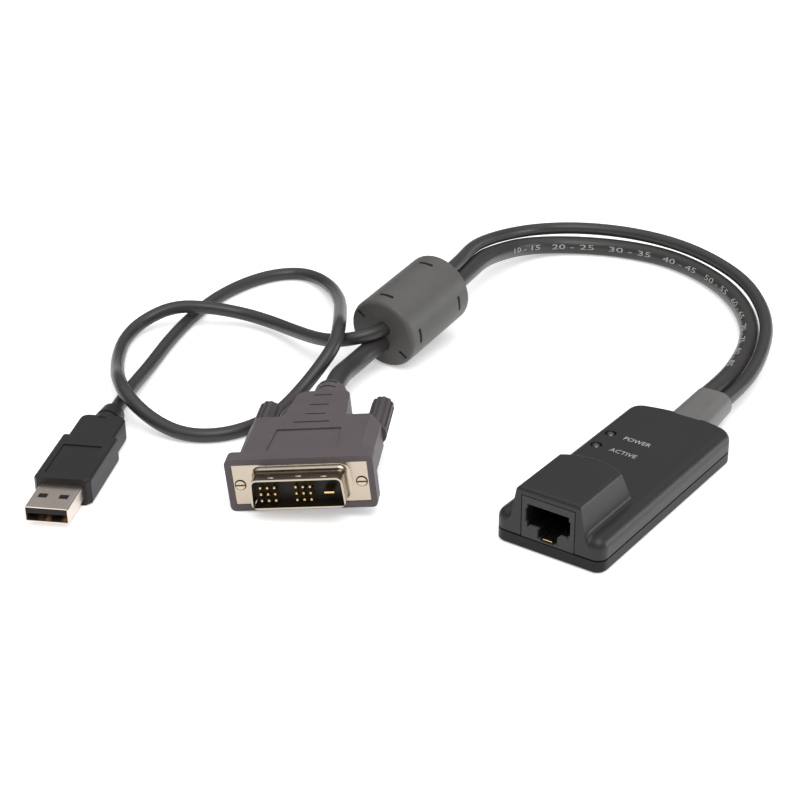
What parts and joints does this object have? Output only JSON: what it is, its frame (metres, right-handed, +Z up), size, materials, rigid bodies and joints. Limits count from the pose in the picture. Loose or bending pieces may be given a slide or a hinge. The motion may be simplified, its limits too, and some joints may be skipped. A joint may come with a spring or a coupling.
{
  "type": "kvm dongle",
  "caption": "Keyboard, video and mouse adapter: a small housing with a network socket and a pair of captive cables through a ferrite sleeve, ending in a digital video plug and a USB plug.",
  "frame": {"origin": "centre of the housing's underside, which rests on the surface", "axes": "+Z up, network socket faces -Y, cables leave the housing along +Y, +X to the right as seen from the socket"},
  "size_m": [0.1976, 0.2587, 0.0274],
  "materials": {
    "housing_black": "fine matte moulded texture",
    "screw_steel": "zinc plated",
    "board_green": "solder resist",
    "socket_plastic": "satin moulded",
    "gold_contacts": "thin gold plating",
    "lamp_lens": "smoked clear lens",
    "chip_black": "moulded epoxy",
    "component_ceramic": "ceramic with tinned ends",
    "crystal_can": "satin can",
    "header_plastic": "moulded nylon",
    "lead_sheath": "thin PVC",
    "sleeve_grey": "satin soft moulding",
    "cable_sheath": "satin PVC",
    "ferrite_ceramic": "sintered",
    "hood_grey": "satin moulding",
    "nickel_shell": "bright nickel",
    "insulator_black": "moulded",
    "screw_nickel": "bright nickel",
    "grip_grey": "ribbed moulding",
    "usb_hood_black": "fine matte moulded texture",
    "usb_shell_nickel": "satin nickel"
  },
  "bodies": {
    "dongle": {"bottom_cover": "housing_black", "top_cover": "housing_black", "housing_screws": "screw_steel", "circuit_board": "board_green", "network_jack": "socket_plastic", "jack_contacts": "gold_contacts", "power_led": "lamp_lens", "active_led": "lamp_lens", "control_chip": "chip_black", "video_chip": "chip_black", "board_components": "component_ceramic", "crystal": "crystal_can", "cable_header": "header_plastic", "lead_wires": "lead_sheath", "cable_boot": "sleeve_grey", "video_cable": "cable_sheath", "usb_cable": "cable_sheath", "ferrite_core": "ferrite_ceramic", "ferrite_jacket": "sleeve_grey", "dvi_hood": "hood_grey", "dvi_shell": "nickel_shell", "dvi_insulator": "insulator_black", "dvi_pins": "gold_contacts", "dvi_ground_blade": "gold_contacts", "usb_hood": "usb_hood_black", "usb_shell": "usb_shell_nickel", "usb_tongue": "insulator_black", "usb_contacts": "gold_contacts"},
    "left_thumbscrew": {"left_thumbscrew": "screw_nickel", "left_thumbscrew_grip": "grip_grey"},
    "right_thumbscrew": {"right_thumbscrew": "screw_nickel", "right_thumbscrew_grip": "grip_grey"}
  },
  "joints": [
    {"name": "left_thumbscrew_turn", "type": "hinge", "parent": "dongle", "child": "left_thumbscrew", "pos_m": [-0.08376, -0.05609, 0.00806], "axis": [-0.4808, 0.8768, 0], "continuous": true},
    {"name": "right_thumbscrew_turn", "type": "hinge", "parent": "dongle", "child": "right_thumbscrew", "pos_m": [-0.05514, -0.04039, 0.01121], "axis": [-0.4808, 0.8768, 0], "continuous": true}
  ]
}
